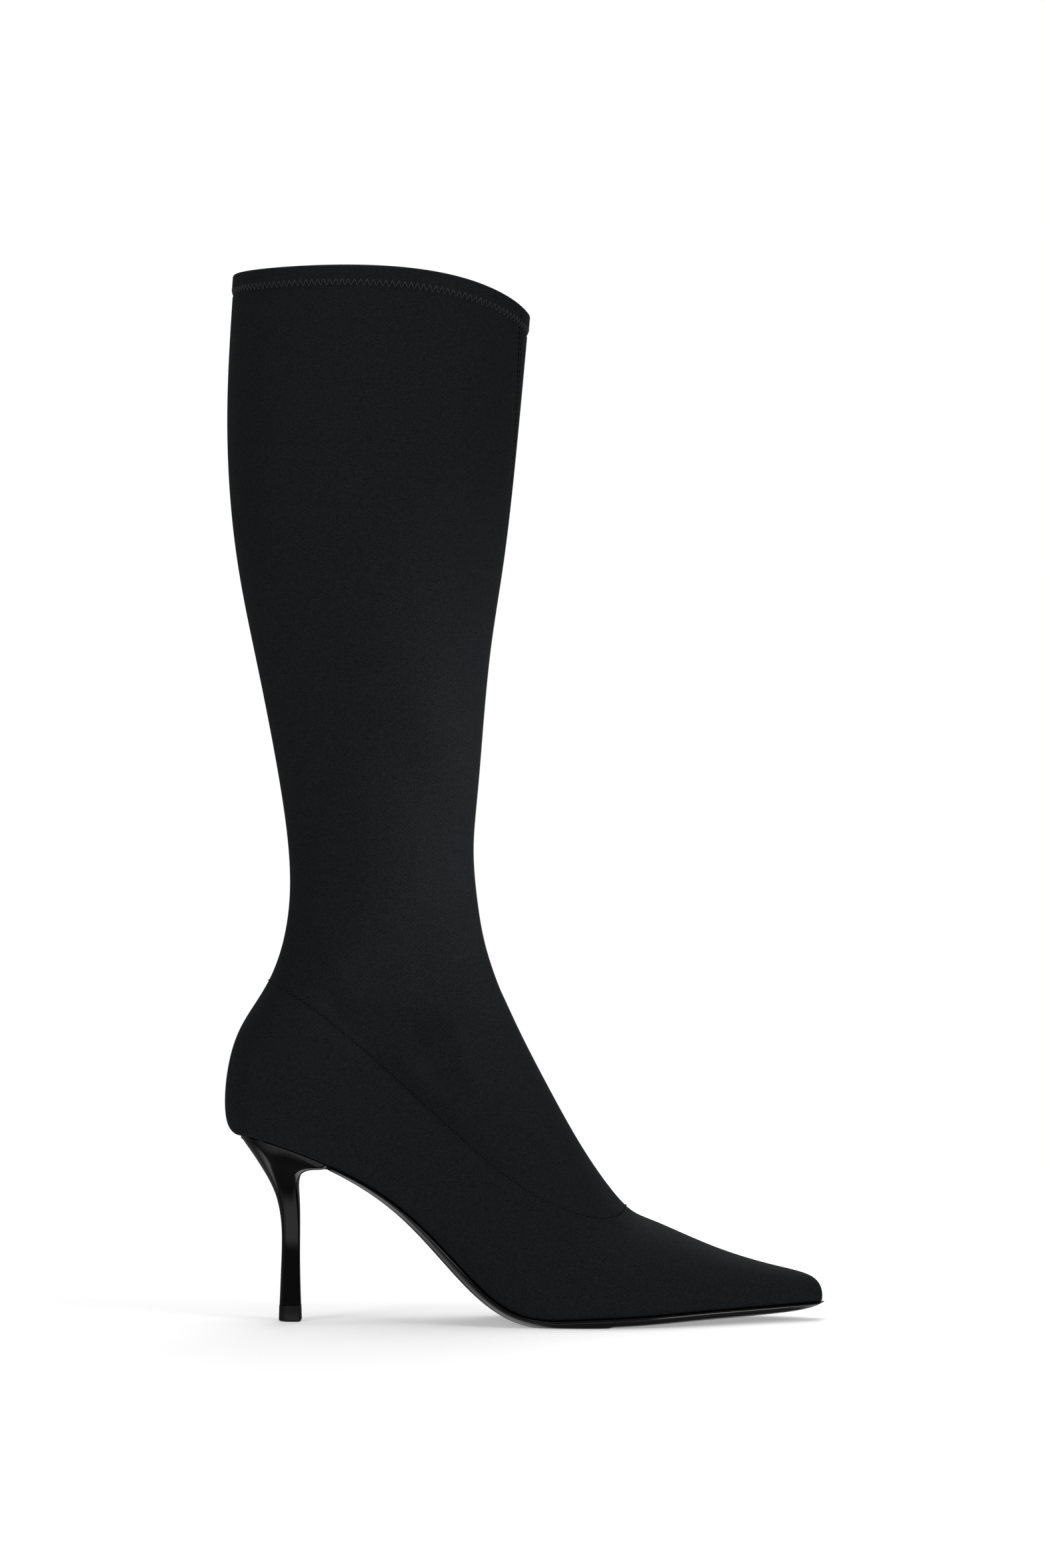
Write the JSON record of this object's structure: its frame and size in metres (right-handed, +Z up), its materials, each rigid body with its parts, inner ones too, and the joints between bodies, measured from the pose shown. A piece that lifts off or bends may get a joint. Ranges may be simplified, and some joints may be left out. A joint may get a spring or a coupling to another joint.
{
  "type": "stretch boot",
  "caption": "Knee-high stretch boot with a pointed toe, a stiletto heel and a slanting seam between foot and shaft, standing empty on its sole.",
  "frame": {"origin": "on the floor, under the middle of the boot's box", "axes": "+X to the toe, +Y to the inner side, +Z up the leg"},
  "size_m": [0.261, 0.1038, 0.4547],
  "materials": {
    "stretch_cloth": "matte knitted stretch cloth",
    "moulded_sole": "satin tread with a polished edge",
    "sock_lining": "matte",
    "lacquer": "high gloss",
    "top_piece": "satin"
  },
  "bodies": {
    "root": {"upper": "stretch_cloth", "shaft": "stretch_cloth", "outsole": "moulded_sole", "insole": "sock_lining", "heel": "lacquer", "heel_tip": "top_piece"}
  },
  "joints": []
}
